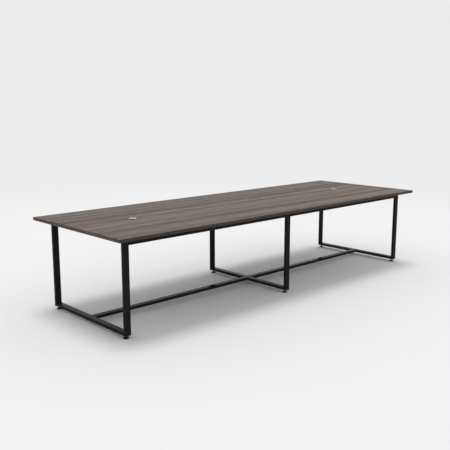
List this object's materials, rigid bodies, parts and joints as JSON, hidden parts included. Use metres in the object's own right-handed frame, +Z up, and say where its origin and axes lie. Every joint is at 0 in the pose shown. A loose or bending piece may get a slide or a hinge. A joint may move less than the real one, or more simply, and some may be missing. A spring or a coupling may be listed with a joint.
{
  "type": "conference table",
  "caption": "Long rectangular conference table: wood-grain top with cable grommets on black steel loop frames, tied by rails and low stretchers, on levelling feet.",
  "frame": {"origin": "on the floor under the centre of the table", "axes": "+X along the length, +Y from front to rear, +Z up"},
  "size_m": [3.6, 1.2, 0.7525],
  "materials": {
    "wood_laminate": "matt wood-grain laminate",
    "wood_edge": "wood-grain edge band",
    "black_steel": "satin black powder coat",
    "zinc_steel": "zinc plated",
    "black_nylon": "moulded",
    "silver_plastic": "satin silver"
  },
  "bodies": {
    "table": {"edge_band_end_left": "wood_edge", "edge_band_end_right": "wood_edge", "edge_band_front_left": "wood_edge", "edge_band_front_right": "wood_edge", "edge_band_rear_left": "wood_edge", "edge_band_rear_right": "wood_edge", "foot_insert_left_front": "zinc_steel", "foot_insert_left_rear": "zinc_steel", "foot_insert_middle_front": "zinc_steel", "foot_insert_middle_rear": "zinc_steel", "foot_insert_right_front": "zinc_steel", "foot_insert_right_rear": "zinc_steel", "frame_left_floor_bar": "black_steel", "frame_left_leg_front": "black_steel", "frame_left_leg_rear": "black_steel", "frame_left_top_bar": "black_steel", "frame_middle_floor_bar": "black_steel", "frame_middle_leg_front": "black_steel", "frame_middle_leg_rear": "black_steel", "frame_middle_top_bar": "black_steel", "frame_right_floor_bar": "black_steel", "frame_right_leg_front": "black_steel", "frame_right_leg_rear": "black_steel", "frame_right_top_bar": "black_steel", "grommet_liner_left": "black_nylon", "grommet_liner_right": "black_nylon", "rail_front_left": "black_steel", "rail_front_left_spigot_inner": "zinc_steel", "rail_front_left_spigot_outer": "zinc_steel", "rail_front_right": "black_steel", "rail_front_right_spigot_inner": "zinc_steel", "rail_front_right_spigot_outer": "zinc_steel", "rail_rear_left": "black_steel", "rail_rear_left_spigot_inner": "zinc_steel", "rail_rear_left_spigot_outer": "zinc_steel", "rail_rear_right": "black_steel", "rail_rear_right_spigot_inner": "zinc_steel", "rail_rear_right_spigot_outer": "zinc_steel", "stretcher_left": "black_steel", "stretcher_left_spigot_inner": "zinc_steel", "stretcher_left_spigot_outer": "zinc_steel", "stretcher_right": "black_steel", "stretcher_right_spigot_inner": "zinc_steel", "stretcher_right_spigot_outer": "zinc_steel", "tabletop_left": "wood_laminate", "tabletop_right": "wood_laminate"},
    "foot_left_front": {"foot_base_left_front": "black_nylon", "foot_stud_left_front": "zinc_steel"},
    "foot_left_rear": {"foot_base_left_rear": "black_nylon", "foot_stud_left_rear": "zinc_steel"},
    "foot_middle_front": {"foot_base_middle_front": "black_nylon", "foot_stud_middle_front": "zinc_steel"},
    "foot_middle_rear": {"foot_base_middle_rear": "black_nylon", "foot_stud_middle_rear": "zinc_steel"},
    "foot_right_front": {"foot_base_right_front": "black_nylon", "foot_stud_right_front": "zinc_steel"},
    "foot_right_rear": {"foot_base_right_rear": "black_nylon", "foot_stud_right_rear": "zinc_steel"},
    "cap_left": {"grommet_cap_left": "silver_plastic"},
    "cap_right": {"grommet_cap_right": "silver_plastic"}
  },
  "joints": [
    {"name": "foot_left_front_level", "type": "slide", "parent": "table", "child": "foot_left_front", "axis": [0, 0, 1], "range_m": [-0.008, 0.005]},
    {"name": "foot_left_rear_level", "type": "slide", "parent": "table", "child": "foot_left_rear", "axis": [0, 0, 1], "range_m": [-0.008, 0.005]},
    {"name": "foot_middle_front_level", "type": "slide", "parent": "table", "child": "foot_middle_front", "axis": [0, 0, 1], "range_m": [-0.008, 0.005]},
    {"name": "foot_middle_rear_level", "type": "slide", "parent": "table", "child": "foot_middle_rear", "axis": [0, 0, 1], "range_m": [-0.008, 0.005]},
    {"name": "foot_right_front_level", "type": "slide", "parent": "table", "child": "foot_right_front", "axis": [0, 0, 1], "range_m": [-0.008, 0.005]},
    {"name": "foot_right_rear_level", "type": "slide", "parent": "table", "child": "foot_right_rear", "axis": [0, 0, 1], "range_m": [-0.008, 0.005]},
    {"name": "cap_left_turn", "type": "hinge", "parent": "table", "child": "cap_left", "pos_m": [-1.27, 0, 0.75], "axis": [0, 0, 1], "continuous": true},
    {"name": "cap_right_turn", "type": "hinge", "parent": "table", "child": "cap_right", "pos_m": [1.27, 0, 0.75], "axis": [0, 0, 1], "continuous": true}
  ]
}
